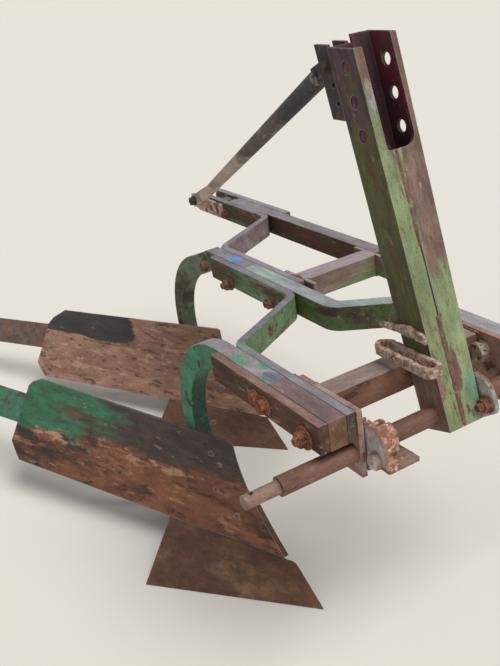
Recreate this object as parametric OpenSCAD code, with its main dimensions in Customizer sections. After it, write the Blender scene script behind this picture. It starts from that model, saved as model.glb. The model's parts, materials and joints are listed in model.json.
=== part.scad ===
// Mounted right-hand moldboard plough with two of its three bodies left.
// The staggered frame is a pack of flat bars. A cross shaft and a leaning mast carry it on the tractor.
// +X is the plough's left, +Y its rear and +Z up. The origin is the middle of the cross shaft.

/* [Frame] */
// Sideways step from one body to the next
furrow_w = 305; // [290:1:330]
// Fore and aft step from one body to the next
body_pitch = 625; // [600:1:680]
// Height of all the frame bars
bar_h = 63; // [55:1:70]
// Thickness of the main bars and of the legs
bar_t = 42; // [36:1:46]
// Thickness of the joggled bars and the side plates
plate_t = 21; // [16:1:24]
// Length of the block in front of the right leg
spacer_len = 210; // [180:1:240]
// Length of the right side plate
side_plate_len = 420; // [380:1:440]
// Distance from the front of a joggled bar to its first bend
jog_start = 422; // [405:1:440]
// Length of a joggled bar's slanted stretch along the frame
jog_run = 146; // [120:1:180]
// Length that a bar or plate reaches behind the seam of its leg
overlap_len = 160; // [130:1:180]
// Bend radius of the bars at their middle line
bend_r = 40; // [30:1:60]
// Distance from the frame's front to the main bar's rear bend
main_bend_y = 438; // [425:1:450]
// Sideways offset of the main bar's left front stretch
main_offset = 160; // [150:1:170]
// Fore and aft length of the main bar's slanted stretch
main_run = 120; // [100:1:140]
// Distance from the frame's front to the front end of the left bar
left_bar_y = 640; // [600:1:655]
// Diameter of the bolt holes of the empty third station
station_hole_d = 21; // [18:0.5:24]
// Distance of the first of these holes behind the leg seam
station_hole_y = 36; // [30:1:40]
// Distance between these two holes
station_hole_step = 46; // [40:1:50]
// Straight rear stretch of the left joggled bar, up to the weld behind its bend
station_plate_len = 340; // [300:1:360]
// Length of the left side plate
left_plate_len = 475; // [420:1:500]

/* [Cross tubes] */
// Outer width of the square front cross tube
front_tube_w = 58; // [50:1:60]
// Outer width of the square rear cross tube
rear_tube_w = 60; // [50:1:62]
// Wall of both cross tubes
tube_wall = 6; // [4:0.5:8]
// Distance from the frame's front to the rear cross tube
rear_tube_y = 625; // [610:1:640]
// Thickness of the plates at the ends of the rear cross tube
tube_plate_t = 12; // [8:1:14]
// Length of the plates at the ends of the rear cross tube
tube_plate_len = 140; // [110:1:150]

/* [Hitch] */
// Distance from the frame's right face to the middle of the hitch
hitch_x = 327; // [300:1:340]
// Distance of the cross shaft behind the frame's front
hitch_y = 22; // [15:1:30]
// Depth of the cross shaft's axis below the bar tops
hitch_z = 100; // [95:1:110]
// Diameter of the cross shaft
shaft_d = 40; // [36:0.5:44]
// Distance between the shoulders of the two lower hitch pins
pin_spread = 825; // [800:1:850]
// Diameter of the lower hitch pins
pin_d = 28; // [26:0.5:32]
// Length of a lower hitch pin
pin_len = 75; // [60:1:90]
// Diameter of the linchpin holes
linch_d = 11; // [9:0.5:13]
// Distance of a linchpin hole from the end of its pin
linch_in = 16; // [14:0.5:20]
// Radial play of the shaft in its plates and in the mast
shaft_play = 0.1; // [0.05:0.05:0.3]
// Thickness of the two bracket plates
bracket_t = 12; // [10:1:14]
// Length of a bracket plate
bracket_len = 196; // [180:1:205]
// Height of the sector plates over the shaft's axis
sector_h = 64; // [58:1:68]
// Depth of a bracket plate below the bar tops
bracket_h = 146; // [140:1:160]
// Thickness of the two sector plates
sector_t = 10; // [8:1:12]
// Outer radius of a sector plate
sector_r = 77; // [70:1:80]
// Running gap between a sector plate and its bracket plate
sector_gap = 5; // [5:0.5:8]
// Distance of the clamp bolt from the shaft's axis
clamp_bolt_r = 54; // [50:1:58]
// Diameter of the clamp bolt holes
clamp_bolt_d = 14; // [12:0.5:16]
// Wall of the bracket plates in front of the shaft
bracket_wall = 5; // [4:0.5:8]
// Outer radius of the two clamps on the shaft
clamp_r = 37; // [34:1:40]
// Length of the right clamp along the shaft
clamp_len = 58; // [50:1:64]
// Thickness of the right clamp's foot plate
foot_t = 11; // [8:1:14]

/* [Mast] */
// Backward lean of the mast in degrees
mast_lean = 16.5; // [14:0.5:18]
// Width of the mast across both channels at its foot
mast_w = 88; // [84:1:96]
// Extra width of the mast at its top, where the left channel leans out
mast_spread = 16; // [8:1:18]
// Width of the right channel's flanges at the foot
mast_seam = 39; // [36:1:44]
// Depth of the mast from front to rear
mast_d = 80; // [74:1:86]
// Thickness of a channel's web
mast_web = 7; // [6:0.5:9]
// Thickness of a channel's flange
mast_flange = 8; // [6:0.5:9]
// Length of the right channel's front face
mast_len = 755; // [740:1:780]
// Length that the left channel is longer than the right one at the top
mast_left_more = 16; // [0:1:20]
// Length of the mast's foot below the shaft's axis
mast_foot = 33; // [28:1:40]
// Length of the open slot in the mast's front
mast_slot_len = 195; // [185:1:220]
// Width of the open slot
mast_slot_w = 70; // [64:1:74]
// Width of the lip on the right of the open slot
mast_lip = 20; // [16:0.5:24]
// Diameter of the top link holes
top_hole_d = 25.7; // [25:0.1:26]
// Step from one top link hole to the next
top_hole_step = 65; // [60:1:70]
// Distance of the highest top link hole from the mast's top
top_hole_in = 26; // [22:1:35]
// Distance of the top link holes behind the mast's front
top_hole_back = 38; // [34:1:44]

/* [Brace] */
// Outer diameter of the brace tube at the mast
brace_d = 42; // [38:0.5:45]
// Outer diameter of the brace tube at the lug
brace_low_d = 35; // [32:0.5:42]
// Wall of the brace tube
brace_wall = 4; // [3:0.5:6]
// Thickness of the plates that hold the brace
ear_t = 8; // [6:1:10]
// Length that the upper plates stand out behind the mast
ear_w = 41; // [36:1:50]
// Length of the upper plates along the mast
ear_len = 147; // [130:1:160]
// Length of the lug that holds the brace's foot
lug_len = 230; // [215:1:245]
// Thickness of this lug
lug_t = 12; // [8:1:14]

/* [Loop] */
// Thickness of the loop's strap
loop_t = 11; // [8:1:13]
// Height of the loop's strap
loop_h = 22; // [18:1:28]
// Length of the loop
loop_len = 180; // [160:1:190]
// Width of the loop
loop_w = 44; // [38:1:50]
// Thickness of the flat strap above the loop
strap_t = 10; // [6:1:12]

/* [Bodies] */
// Height of the frame bars' tops over the floor
bar_top_h = 600; // [590:1:620]
// Distance of the shin's top behind the frame's front
shin_y = 502; // [495:1:510]
// Height of the front leg's lower end over the floor
front_leg_low = 171; // [160:1:185]
// Height of the rear leg's lower end over the floor
rear_leg_low = 152; // [145:1:170]
// Radius of the front leg's outer arc
front_leg_r = 268; // [262:1:272]
// Radius of the rear leg's outer arc
rear_leg_r = 275; // [270:1:280]
// Height of the shin over the floor
shin_h = 305; // [295:1:315]
// Distance from the share's point back to the shin's top
shin_run = 316; // [300:1:330]
// Height of the joint between share and moldboard at the landside
share_joint_h = 70; // [60:1:80]
// Thickness of the moldboard sheet
board_t = 8; // [6:0.5:9]
// Thickness of the share
share_t = 10; // [8:0.5:11]
// Width that the share cuts
share_cut = 295; // [280:1:310]
// Angle between the share's edge and the line of travel
share_angle = 40; // [38:1:44]
// Part of the moldboard's lower edge that the share carries
share_part = 0.36; // [0.32:0.01:0.4]
// Thickness of the landside and the shin piece
landside_t = 12; // [10:1:14]
// Height of the landside
landside_h = 110; // [95:1:115]
// Distance of the landside's heel behind the shin's top
landside_back = 300; // [270:1:340]
// Thickness of the frog's upright plate
frog_t = 20; // [16:1:22]
// Diameter of the moldboard's stay rod
stay_d = 22; // [18:1:26]
// Thickness of the tail slat
slat_t = 8; // [6:0.5:10]
// Length that a tail slat reaches past its moldboard, as a part of the board's length
slat_reach = 0.4; // [0.3:0.01:0.45]
// Front moldboard's upper rear corner: sideways, behind the shin's top, over the floor
front_board_top = [-215, 774, 306];
// Front moldboard's lower rear corner, in the same way
front_board_low = [-360, 710, 114];
// Rear moldboard's upper rear corner, in the same way
rear_board_top = [-262, 746, 265];
// Rear moldboard's lower rear corner, in the same way
rear_board_low = [-404, 688, 63];

/* [Hidden] */

// Facets of a full circle
fine = 64;
// Clearance that lets a cut run past a face
past = 1;
// Segments of a rounded bend
bend_steps = 5;

// Sides of the bars, counted from the frame's right face
spacer_x = plate_t;
jog_x = plate_t + bar_t;
main_x = furrow_w + plate_t;
left_bar_x = 2 * furrow_w + plate_t;
left_plate_x = left_bar_x + bar_t;
main_front_x = main_x + main_offset;
// Places of the leg seams behind the frame's front
front_seam = spacer_len;
rear_seam = front_seam + body_pitch;
left_seam = rear_seam + body_pitch;
// Bracket plates stand against the right joggled bar and against the main bar's front stretch
right_bracket_x = jog_x + plate_t;
left_bracket_x = main_front_x - bracket_t;
main_bar_y = 8;
// Mast's right face, its shaft bore behind the front face, and its rear face at a height of the frame
mast_x = hitch_x - mast_w / 2;
shaft_back = mast_d / 2 + 2;
function mast_back_y(z) = hitch_y + (z + hitch_z) * tan(mast_lean) + (mast_d - shaft_back) / cos(mast_lean);
// The rear bar ends reach less far behind their seams than the right side plate does
left_overlap_less = 38;
left_jog_overlap = overlap_len - left_overlap_less;
left_plate_end = left_seam + overlap_len + 20;
left_plate_y = left_plate_end - left_plate_len;

// Each body's leg: arc centre behind its seam and below the bar tops, arc radius, first angle of the arc
// and the lower end's height. The rear leg is the more bent one.
LEG = [
    [220, 268, front_leg_r, 90, front_leg_low],
    [263, 310, rear_leg_r, 78, rear_leg_low]
];
// Each body's moldboard: its two rear corners, then the cut corners as parts of the top edge,
// rear edge, rear edge and lower edge
BOARD = [
    [front_board_top, front_board_low, 0.06, 0.09, 0.18, 0.052],
    [rear_board_top, rear_board_low, 0.085, 0.17, 0.17, 0.06]
];
// Clearance between two pieces that are bolted or welded together
seat_gap = 0.3;
// Clearance behind the two twisted sheets
sheet_clear = 0.7;

module place() translate([-hitch_x, -hitch_y, hitch_z]) children();
module at_body(b) place() translate([b * furrow_w, b * body_pitch, 0]) children();
// Extrudes an outline drawn in Y and Z between two places along X
module slab_x(x, t) translate([x, 0, 0]) rotate([90, 0, 90]) linear_extrude(t) children();
module bore_x(x, l, y, z, d) translate([x, y, z]) rotate([0, 90, 0]) cylinder(h = l, d = d, $fn = fine);

// Rounded middle line and outline of a bent flat bar
function unit(v) = v / norm(v);
function side(d) = [-d[1], d[0]];
function arc_corner(a, b, c, r) =
    let (d1 = unit(b - a), d2 = unit(c - b), cr = d1[0] * d2[1] - d1[1] * d2[0],
        turn = atan2(cr, d1 * d2), cut = r * tan(abs(turn) / 2), s = sign(turn),
        centre = b - d1 * cut + side(d1) * r * s)
    [for (i = [0:bend_steps]) let (k = turn * i / bend_steps)
        centre - s * r * [cos(k) * side(d1)[0] - sin(k) * side(d1)[1],
            sin(k) * side(d1)[0] + cos(k) * side(d1)[1]]];
function bent_line(p, r) = concat([p[0]],
    [for (i = [1:len(p) - 2]) each arc_corner(p[i - 1], p[i], p[i + 1], r)], [p[len(p) - 1]]);
function mitre(p, i, o) =
    let (n1 = side(unit(p[max(i, 1)] - p[max(i, 1) - 1])),
        n2 = side(unit(p[min(i, len(p) - 2) + 1] - p[min(i, len(p) - 2)])), m = unit(n1 + n2))
    p[i] + m * o / (m * n1);
function strip(p, t) = concat([for (i = [0:len(p) - 1]) mitre(p, i, t / 2)],
    [for (i = [len(p) - 1:-1:0]) mitre(p, i, -t / 2)]);
module bent_bar(p, t) translate([0, 0, -bar_h]) linear_extrude(bar_h) polygon(strip(bent_line(p, bend_r), t));

// Flat bars of the frame
module right_side_plate() color("#6b4a40") place()
    translate([0, 0, -bar_h]) cube([plate_t, side_plate_len, bar_h]);
module spacer_block() color("#75605c") place()
    translate([spacer_x, 0, -bar_h]) cube([bar_t, spacer_len, bar_h]);
module joggled_bar(rear_overlap) {
    x1 = jog_x + plate_t / 2;
    x2 = furrow_w + plate_t / 2;
    bent_bar([[x1, 0], [x1, jog_start], [x2, jog_start + jog_run], [x2, rear_seam + rear_overlap]], plate_t);
}
module right_joggled_bar() color("#6f7f6c") at_body(0) joggled_bar(overlap_len);
// Bolt holes of the third station, where the leg and its body are missing
module station_holes(x, l) for (i = [0, 1])
    bore_x(x - past, l + 2 * past, left_seam + station_hole_y + i * station_hole_step, -bar_h / 2,
        station_hole_d);
module left_joggled_bar() color("#7d747a") at_body(1) joggled_bar(left_jog_overlap - station_plate_len);
module left_station_plate() color("#7d747a") place() difference() {
    translate([2 * furrow_w, left_seam + left_jog_overlap - station_plate_len, -bar_h])
        cube([plate_t, station_plate_len, bar_h]);
    station_holes(2 * furrow_w, plate_t);
}
module main_bar() color("#6d6a62") place() {
    x1 = main_front_x + bar_t / 2;
    x2 = main_x + bar_t / 2;
    bent_bar([[x1, main_bar_y], [x1, main_bend_y - main_run], [x2, main_bend_y], [x2, rear_seam]], bar_t);
}
module left_bar() color("#5a4a44") place()
    translate([left_bar_x, left_bar_y, -bar_h]) cube([bar_t, left_seam - left_bar_y, bar_h]);
module left_side_plate() color("#857c80") place() difference() {
    translate([left_plate_x, left_plate_y, -bar_h]) cube([plate_t, left_plate_len, bar_h]);
    station_holes(left_plate_x, plate_t);
}

// Square cross tubes
module square_tube(x, y, z, l, w) translate([x, y, z - w]) difference() {
    cube([l, w, w]);
    translate([-past, tube_wall, tube_wall]) cube([l + 2 * past, w - 2 * tube_wall, w - 2 * tube_wall]);
}
front_tube_x = right_bracket_x + bracket_t;
front_tube_len = left_bracket_x - front_tube_x;
front_tube_z = -6;
// The tube passes right behind the leaning mast
front_tube_y = mast_back_y(front_tube_z) + 0.3;
module front_cross_tube() color("#6e4238") place()
    square_tube(front_tube_x, front_tube_y, front_tube_z, front_tube_len, front_tube_w);
rear_tube_x = main_x + bar_t + plate_t;
module rear_cross_tube() color("#74605c") place() {
    y = rear_tube_y - (tube_plate_len - rear_tube_w) / 2;
    square_tube(rear_tube_x + tube_plate_t, rear_tube_y, 0, left_bar_x - rear_tube_x - 2 * tube_plate_t,
        rear_tube_w);
    for (x = [rear_tube_x, left_bar_x - tube_plate_t])
        translate([x, y, -rear_tube_w]) cube([tube_plate_t, tube_plate_len, rear_tube_w]);
}

// Bracket plates with the shaft's bore
function arc_points(r, a, b, n = 16) = [for (i = [0:n]) let (k = a + (b - a) * i / n) r * [cos(k), sin(k)]];
bracket_front = hitch_y - shaft_d / 2 - bracket_wall;
bracket_round = 20;
module bracket(x, corner) difference() {
    y1 = bracket_front + bracket_len;
    slab_x(x, bracket_t) polygon([[bracket_front, -corner], [bracket_front + corner * 0.3, -corner * 0.3],
        [bracket_front + corner, 0], [y1, 0], [y1, -bar_h - bracket_round],
        [hitch_y + 2 * shaft_d, -bracket_h], [bracket_front, -bracket_h]]);
    bore_x(x - past, bracket_t + 2 * past, hitch_y, -hitch_z, shaft_d + 2 * shaft_play);
}
module right_bracket() color("#7c5446") place() bracket(right_bracket_x, 2);
module left_bracket() color("#5c4640") place() bracket(left_bracket_x, bracket_round);

// Cross shaft with its stepped pins, modelled on its own axis
module cross_shaft() color("#74443c") difference() {
    union() {
        bore_x(-pin_spread / 2, pin_spread, 0, 0, shaft_d);
        bore_x(-pin_spread / 2 - pin_len, pin_spread + 2 * pin_len, 0, 0, pin_d);
    }
    for (s = [-1, 1])
        translate([s * (pin_spread / 2 + pin_len - linch_in), 0, -pin_d])
            cylinder(h = 2 * pin_d, d = linch_d, $fn = 32);
}
// The sector's round edge runs between two angles, and the clamp's ear between two others
sector_back = 40;
sector_from = 128;
sector_to = 176;
ear_from = 75;
ear_to = 176;
module sector(x) difference() {
    slab_x(x, sector_t) polygon(concat([[sector_back * 0.4, sector_back], [-sector_back / 2, sector_h - 4]],
        arc_points(sector_r, sector_from, sector_to, 10),
        [[-sector_r + 4, -6], [-sector_back / 2, -sector_back], [sector_back * 0.5, -sector_back],
            [sector_back, -sector_back * 0.4], [sector_back, sector_back * 0.4]]));
    bore_x(x - past, sector_t + 2 * past, 0, 0, shaft_d);
    bore_x(x - past, sector_t + 2 * past, -clamp_bolt_r, 0, clamp_bolt_d);
}
// The right plate runs beside its bracket and the left one beside the mast
right_sector_x = right_bracket_x + bracket_t + sector_gap - hitch_x;
left_sector_x = mast_w / 2 + sector_gap + mast_spread * (mast_foot + sector_h) / mast_len;
module right_sector() color("#8a8480") sector(right_sector_x);
module left_sector() color("#9a9a8e") sector(left_sector_x);
// Split clamps on the shaft beside the sector plates, the right one with a flat foot plate
clamp_flange_t = 14;
clamp_gap = 8;
foot_x = 46;
foot_w = 48;
foot_y = 54;
foot_l = 58;
foot_z = 35;
module clamp(x, len) difference() {
    union() {
        bore_x(x, len, 0, 0, 2 * clamp_r);
        slab_x(x, clamp_flange_t) polygon(concat([[clamp_r * 0.7, 0]],
                arc_points(sector_h - 6, ear_from, ear_to, 12),
            [[-clamp_bolt_r, -16], [-clamp_r / 2, -clamp_r * 0.6]]));
    }
    bore_x(x - past, len + 2 * past, 0, 0, shaft_d);
    bore_x(x - past, clamp_flange_t + 2 * past, -clamp_bolt_r, 0, clamp_bolt_d);
    translate([x - past, -clamp_gap / 2, shaft_d / 4]) cube([len + 2 * past, clamp_gap, sector_h]);
}
module right_clamp() color("#8d6548") {
    x = right_sector_x + sector_t;
    clamp(x, clamp_len);
    slab_x(x + clamp_flange_t, foot_x) polygon([[-foot_y, -foot_z - foot_t / 2], [-foot_y, -foot_z - foot_t],
        [clamp_r / 2, -foot_z - foot_t], [clamp_r / 2, -shaft_d / 2 - 2], [-clamp_r / 2, -shaft_d / 2 - 2]]);
    translate([x + foot_x - 4, -foot_y, -foot_z - foot_t]) cube([foot_w, foot_l, foot_t]);
}
module left_clamp() color("#7a5a44") clamp(left_sector_x + sector_t, clamp_len / 2);

// Leaning mast of two channels set toe to toe, drawn upright on its own foot and then leaned
module mast_frame() place() translate([0, hitch_y, -hitch_z]) rotate([-mast_lean, 0, 0])
    translate([mast_x, -shaft_back, -mast_foot]) children();
// Wall between two places along Y from an outline drawn in X and Z
module wall_y(y, t) translate([0, y + t, 0]) rotate([90, 0, 0]) linear_extrude(t) children();
mast_cut = mast_d * tan(mast_lean);
mast_top = mast_len + mast_left_more + mast_cut;
slot_end = mast_len - mast_slot_len;
slot_right_r = 8;
slot_left_r = 25;
module leaning_strip(x1, x2, out1, out2) polygon([[x1, 0], [x2, 0],
    [x2 + out2 * mast_top / mast_len, mast_top], [x1 + out1 * mast_top / mast_len, mast_top]]);
// Web between two faces and flanges out to the seam, which leans out with the left channel
module channel(web_x, web_out, flange_x1, flange_x2, out1, out2, top) difference() {
    union() {
        wall_y(0, mast_d) leaning_strip(web_x, web_x + mast_web, web_out, web_out);
        for (y = [0, mast_d - mast_flange])
            wall_y(y, mast_flange) leaning_strip(flange_x1, flange_x2, out1, out2);
    }
    // Level top
    translate([-past, 0, top]) rotate([mast_lean, 0, 0])
        translate([0, -mast_d, 0]) cube([2 * mast_w, 3 * mast_d, 2 * mast_cut + mast_left_more]);
    // Open slot in the front
    wall_y(-past, mast_flange + 2 * past) polygon(concat([[mast_lip, mast_top + past]],
        [for (p = arc_points(slot_right_r, 180, 270, 6))
            p + [mast_lip + slot_right_r, slot_end + slot_right_r]],
        [for (p = arc_points(slot_left_r, 270, 360, 10))
            p + [mast_lip + mast_slot_w - slot_left_r, slot_end + slot_left_r]],
        [[mast_lip + mast_slot_w, mast_top + past]]));
    for (i = [0:2])
        bore_x(-past, mast_w + mast_spread + 2 * past, top_hole_back,
            mast_len - top_hole_in - i * top_hole_step, top_hole_d);
    bore_x(-past, mast_w + mast_spread, shaft_back, mast_foot, shaft_d + 2 * shaft_play);
}
module mast_right_channel() color("#7f9a6a") mast_frame()
    channel(0, 0, 0, mast_seam - seat_gap / 2, 0, mast_spread, mast_len);
module mast_left_channel() color("#86a070") mast_frame() channel(mast_w - mast_web, mast_spread,
    mast_seam + seat_gap / 2, mast_w, mast_spread, mast_spread, mast_len + mast_left_more);

// Two ears behind the mast's top, the brace tube and the lug at the left seam
ear_x = [0, mast_seam + 4];
ear_rise = 4.5;
ear_top = mast_len + mast_cut + ear_rise;
ear_bolt = [mast_d + 18, mast_len - 7];
ear_hole = [mast_d + 10, mast_len - 46];
ear_hole_step = 36;
ear_hole_d = 11;
ear_bolt_d = 13;
module brace_ears() color("#4a3a3c") mast_frame() difference() {
    for (x = ear_x)
        slab_x(x, ear_t) polygon([[mast_d, ear_top], [mast_d + ear_w, ear_top + ear_w * tan(mast_lean)],
            [mast_d + ear_w, ear_top + ear_w * tan(mast_lean) - ear_len], [mast_d, ear_top - ear_len]]);
    bore_x(-past, mast_w, ear_bolt[0], ear_bolt[1], ear_bolt_d);
    for (i = [0, 1])
        bore_x(-past, mast_w, ear_hole[0], ear_hole[1] - i * ear_hole_step, ear_hole_d);
}
tongue_t = 12;
tongue_r = 18;
tongue_front = 14;
tongue_len = 50;
brace_top = [mast_x + ear_t + seat_gap + tongue_t / 2,
    hitch_y + (ear_bolt[1] - mast_foot) * sin(mast_lean) + (ear_bolt[0] - shaft_back) * cos(mast_lean),
    -hitch_z + (ear_bolt[1] - mast_foot) * cos(mast_lean) - (ear_bolt[0] - shaft_back) * sin(mast_lean)];
lug_y = left_seam + 10;
lug_end = left_seam + lug_len;
lug_top = 8;
lug_low = 56;
lug_x = 2 * furrow_w - lug_t;
brace_foot_t = 14;
brace_foot_r = 20;
brace_foot_len = 110;
brace_bolt_d = 15;
// Middle of the tube at the lug, and the bolt of its flat foot
brace_low = [lug_x + 2, lug_end - 52, -25];
brace_bolt = [lug_x - brace_foot_t / 2, lug_end - 50, -18];
module brace_tube() color("#5f5650") place() {
    v = brace_low - brace_top;
    l = norm(v) - tongue_len - brace_foot_len;
    down = atan2(v[2], v[1]);
    translate(brace_top) rotate([0, acos(v[2] / norm(v)), atan2(v[1], v[0])]) difference() {
        translate([0, 0, tongue_len]) cylinder(h = l, d1 = brace_d, d2 = brace_low_d, $fn = fine);
        translate([0, 0, tongue_len - past])
            cylinder(h = l + 2 * past, d1 = brace_d - 2 * brace_wall, d2 = brace_low_d - 2 * brace_wall,
                $fn = fine);
    }
    // Flat tongue between the ears
    translate(brace_top) rotate([down, 0, 0]) difference() {
        translate([-tongue_t / 2, -tongue_front, -tongue_r])
            cube([tongue_t, tongue_front + tongue_len + tongue_r, 2 * tongue_r]);
        bore_x(-tongue_t, 2 * tongue_t, 0, 0, ear_bolt_d);
    }
    // Flat foot against the lug
    translate(brace_bolt) rotate([down, 0, 0]) difference() {
        translate([-brace_foot_t / 2, -brace_foot_len - brace_foot_r, -brace_foot_r])
            cube([brace_foot_t, brace_foot_len + 2 * brace_foot_r, 2 * brace_foot_r]);
        bore_x(-brace_foot_t, 2 * brace_foot_t, 0, 0, brace_bolt_d);
    }
}
module brace_lug() color("#8a6858") place() difference() {
    slab_x(lug_x, lug_t) polygon([[lug_y, -lug_top], [lug_end, -lug_top / 2], [lug_end, -lug_low + 16],
        [lug_end - lug_low, -lug_low], [lug_y, -lug_low]]);
    bore_x(lug_x - past, lug_t + 2 * past, brace_bolt[1], brace_bolt[2], brace_bolt_d);
    station_holes(lug_x, lug_t);
}
// Long strap loop beside the mast's right cheek and a flat strap above it
loop_y = -28;
loop_z = 11;
module mast_loop() color("#8a7250") place() translate([mast_x - seat_gap - loop_w / 2, loop_y, loop_z])
    linear_extrude(loop_h) difference() {
        loop_round(loop_w / 2);
        loop_round(loop_w / 2 - loop_t);
    }
module loop_round(r) {
    translate([0, loop_w / 2]) circle(r = r, $fn = 48);
    translate([0, loop_len - loop_w / 2]) circle(r = r, $fn = 48);
    translate([-r, loop_w / 2]) square([2 * r, loop_len - loop_w]);
}
module mast_strap() color("#8c8472") place() slab_x(mast_x - seat_gap - strap_t, strap_t)
    polygon([[163, 55], [165, 66], [112, 74], [76, 84], [35, 78], [20, 72], [20, 60], [112, 60]]);

// Legs: a straight stretch behind the seam, then an arc down to the frog
function leg_last(b) = asin((LEG[b][4] - bar_top_h + LEG[b][1]) / LEG[b][2]);
function leg_arc(b, r, from, to, n = 24) = [for (i = [0:n]) let (k = from + (to - from) * i / n)
    [spacer_len + LEG[b][0] + r * cos(k), -LEG[b][1] + r * sin(k)]];
leg_turn = spacer_len + LEG[0][0];
module leg(b) slab_x(spacer_x, bar_t) polygon(concat([[spacer_len, 0], [leg_turn, 0]],
    leg_arc(b, LEG[b][2], LEG[b][3], leg_last(b)), leg_arc(b, LEG[b][2] - bar_h, leg_last(b), LEG[b][3]),
    [[leg_turn, -bar_h], [spacer_len, -bar_h]]));
module front_leg() color("#1f7a55") at_body(0) leg(0);
module rear_leg() color("#565f50") at_body(1) leg(1);

// Faces of share and moldboard. Heights h count from the floor, other places from the frame's corner
floor_z = -bar_top_h;
landside_x = 70;
board_x = landside_x - landside_t;
frog_x = board_x - frog_t;
function shin_at(h) = shin_y - shin_run * pow(1 - h / shin_h, 2);
function board_front(v) = let (h = share_joint_h + (shin_h - share_joint_h) * v)
    [board_x, shin_at(h), floor_z + h];
function board_rear(b, v) = [0, shin_y, floor_z] + BOARD[b][1] * (1 - v) + BOARD[b][0] * v;
// Length of each ruling after the two corners are cut off
function board_end(b, v) =
    v > 1 - BOARD[b][3] ? 1 - BOARD[b][2] * (v - 1 + BOARD[b][3]) / BOARD[b][3]
    : v < BOARD[b][4] ? 1 - BOARD[b][5] * (BOARD[b][4] - v) / BOARD[b][4] : 1;
function board_at(b, t, v) = board_front(v) * (1 - t) + board_rear(b, v) * t;
function board_normal(b, t, v) = let (e = 0.01,
    du = board_at(b, t + e, v) - board_at(b, t - e, v), dv = board_at(b, t, v + e) - board_at(b, t, v - e))
    unit(cross(du, dv));
// Point behind the face by a distance. The landside's plane cuts the sheet off flush along the shin.
function board_behind(b, t, v, o) = let (n = board_normal(b, t, v), d = board_rear(b, v) - board_front(v))
    board_at(b, t, v) + o * (t < 0.001 ? n - d * (n[0] / d[0]) : n);

// Closed skin between two grids of points of the same size
module grid_solid(a, c) {
    n = len(a);
    m = len(a[0]);
    pts = concat([for (r = a) each r], [for (r = c) each r]);
    k = n * m;
    top = [for (i = [0:n - 2], j = [0:m - 2]) each [
        [i * m + j, i * m + j + 1, (i + 1) * m + j], [i * m + j + 1, (i + 1) * m + j + 1, (i + 1) * m + j]]];
    low = [for (f = top) [f[0] + k, f[2] + k, f[1] + k]];
    ring = concat([for (j = [0:m - 2]) j], [for (i = [0:n - 2]) i * m + m - 1],
        [for (j = [m - 1:-1:1]) (n - 1) * m + j], [for (i = [n - 1:-1:1]) i * m]);
    wall = [for (i = [0:len(ring) - 1]) let (p = ring[i], q = ring[(i + 1) % len(ring)])
        each [[p, p + k, q], [q, p + k, q + k]]];
    polyhedron(pts, concat(top, low, wall), convexity = 6);
}
// Rows of the board's grid. Its seats, its stay and its slat use some of them, so that their faces match.
slat_low = 0.41;
slat_high = 0.77;
board_rows = [0, 0.06, 0.12, 0.18, 0.3, slat_low, 0.55, 0.68, slat_high, 0.87, 0.93, 1];
board_cols = [for (i = [0:14]) i / 14];
function board_grid(b, o) = [for (v = board_rows)
    [for (u = board_cols) board_behind(b, u * board_end(b, v), v, o)]];
module moldboard(b) grid_solid(board_grid(b, 0), board_grid(b, board_t));
module front_moldboard() color("#2f5a40") at_body(0) moldboard(0);
module rear_moldboard() color("#86583f") at_body(1) moldboard(1);

// Share: from the sharp cutting edge on the floor up to the moldboard's lower edge
edge_h = 2;
share_point = [landside_x, shin_at(0), floor_z + edge_h];
share_wing = share_point + [-share_cut, share_cut / tan(share_angle), 0];
function share_top(b, a) = let (t0 = -landside_t / (board_x - BOARD[b][1][0]))
    board_at(b, t0 + (share_part - t0) * a, 0);
function share_at(b, a, w) = (share_point * (1 - a) + share_wing * a) * (1 - w) + share_top(b, a) * w;
function share_normal(b, a, w) = let (e = 0.01,
    da = share_at(b, a + e, w) - share_at(b, a - e, w), dw = share_at(b, a, w + e) - share_at(b, a, w - e))
    unit(cross(da, dw));
function share_behind(b, a, w, o) = let (n = share_normal(b, a, w), d = share_at(b, 1, w) - share_at(b, 0, w))
    w < 0.001 ? share_at(b, a, w) - [0, 0, edge_h]
    : share_at(b, a, w) + o * (a < 0.001 ? n - d * (n[0] / d[0]) : n);
share_gap = 0.004;
share_rows = [0, 0.25, 0.5, 0.75, 1 - share_gap];
share_cols = [for (i = [0:8]) i / 8];
function share_grid(b, o) = [for (w = share_rows) [for (a = share_cols)
    o == 0 ? share_at(b, a, w) : share_behind(b, a, w, o)]];
module share(b) grid_solid(share_grid(b, 0), share_grid(b, share_t));
module front_share() color("#6a4034") at_body(0) share(0);
module rear_share() color("#6a4034") at_body(1) share(1);

// Shin piece and landside lie in the landside's plane
shin_low = share_joint_h + 3;
shin_high = 165;
shin_depth = 74;
function shin_line(back) = [for (i = [0:10]) let (h = shin_low + (shin_high - shin_low) * i / 10)
    [shin_at(h) + back, floor_z + h]];
function reversed(a) = [for (i = [len(a) - 1:-1:0]) a[i]];
module shin(b) slab_x(board_x, landside_t) polygon(concat(shin_line(0), reversed(shin_line(shin_depth))));
module front_shin() color("#8a6450") at_body(0) shin(0);
module rear_shin() color("#8a6450") at_body(1) shin(1);
landside_end = shin_y + landside_back;
landside_gap = 4;
landside_front = 62;
landside_nose = 130;
heel_drop = 30;
heel_run = 60;
module landside(b) slab_x(board_x, landside_t) polygon([
    [shin_at(0) + landside_front, floor_z], [landside_end, floor_z],
    [landside_end, floor_z + landside_h - heel_drop], [landside_end - heel_run, floor_z + landside_h],
    [shin_at(landside_h) + shin_depth + landside_gap, floor_z + landside_h],
    [shin_at(shin_low) + shin_depth + landside_gap, floor_z + shin_low - landside_gap],
    [shin_at(0) + landside_nose, floor_z + shin_low - heel_drop]]);
module front_landside() color("#5a4a42") at_body(0) landside(0);
module rear_landside() color("#5a4a42") at_body(1) landside(1);

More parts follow.
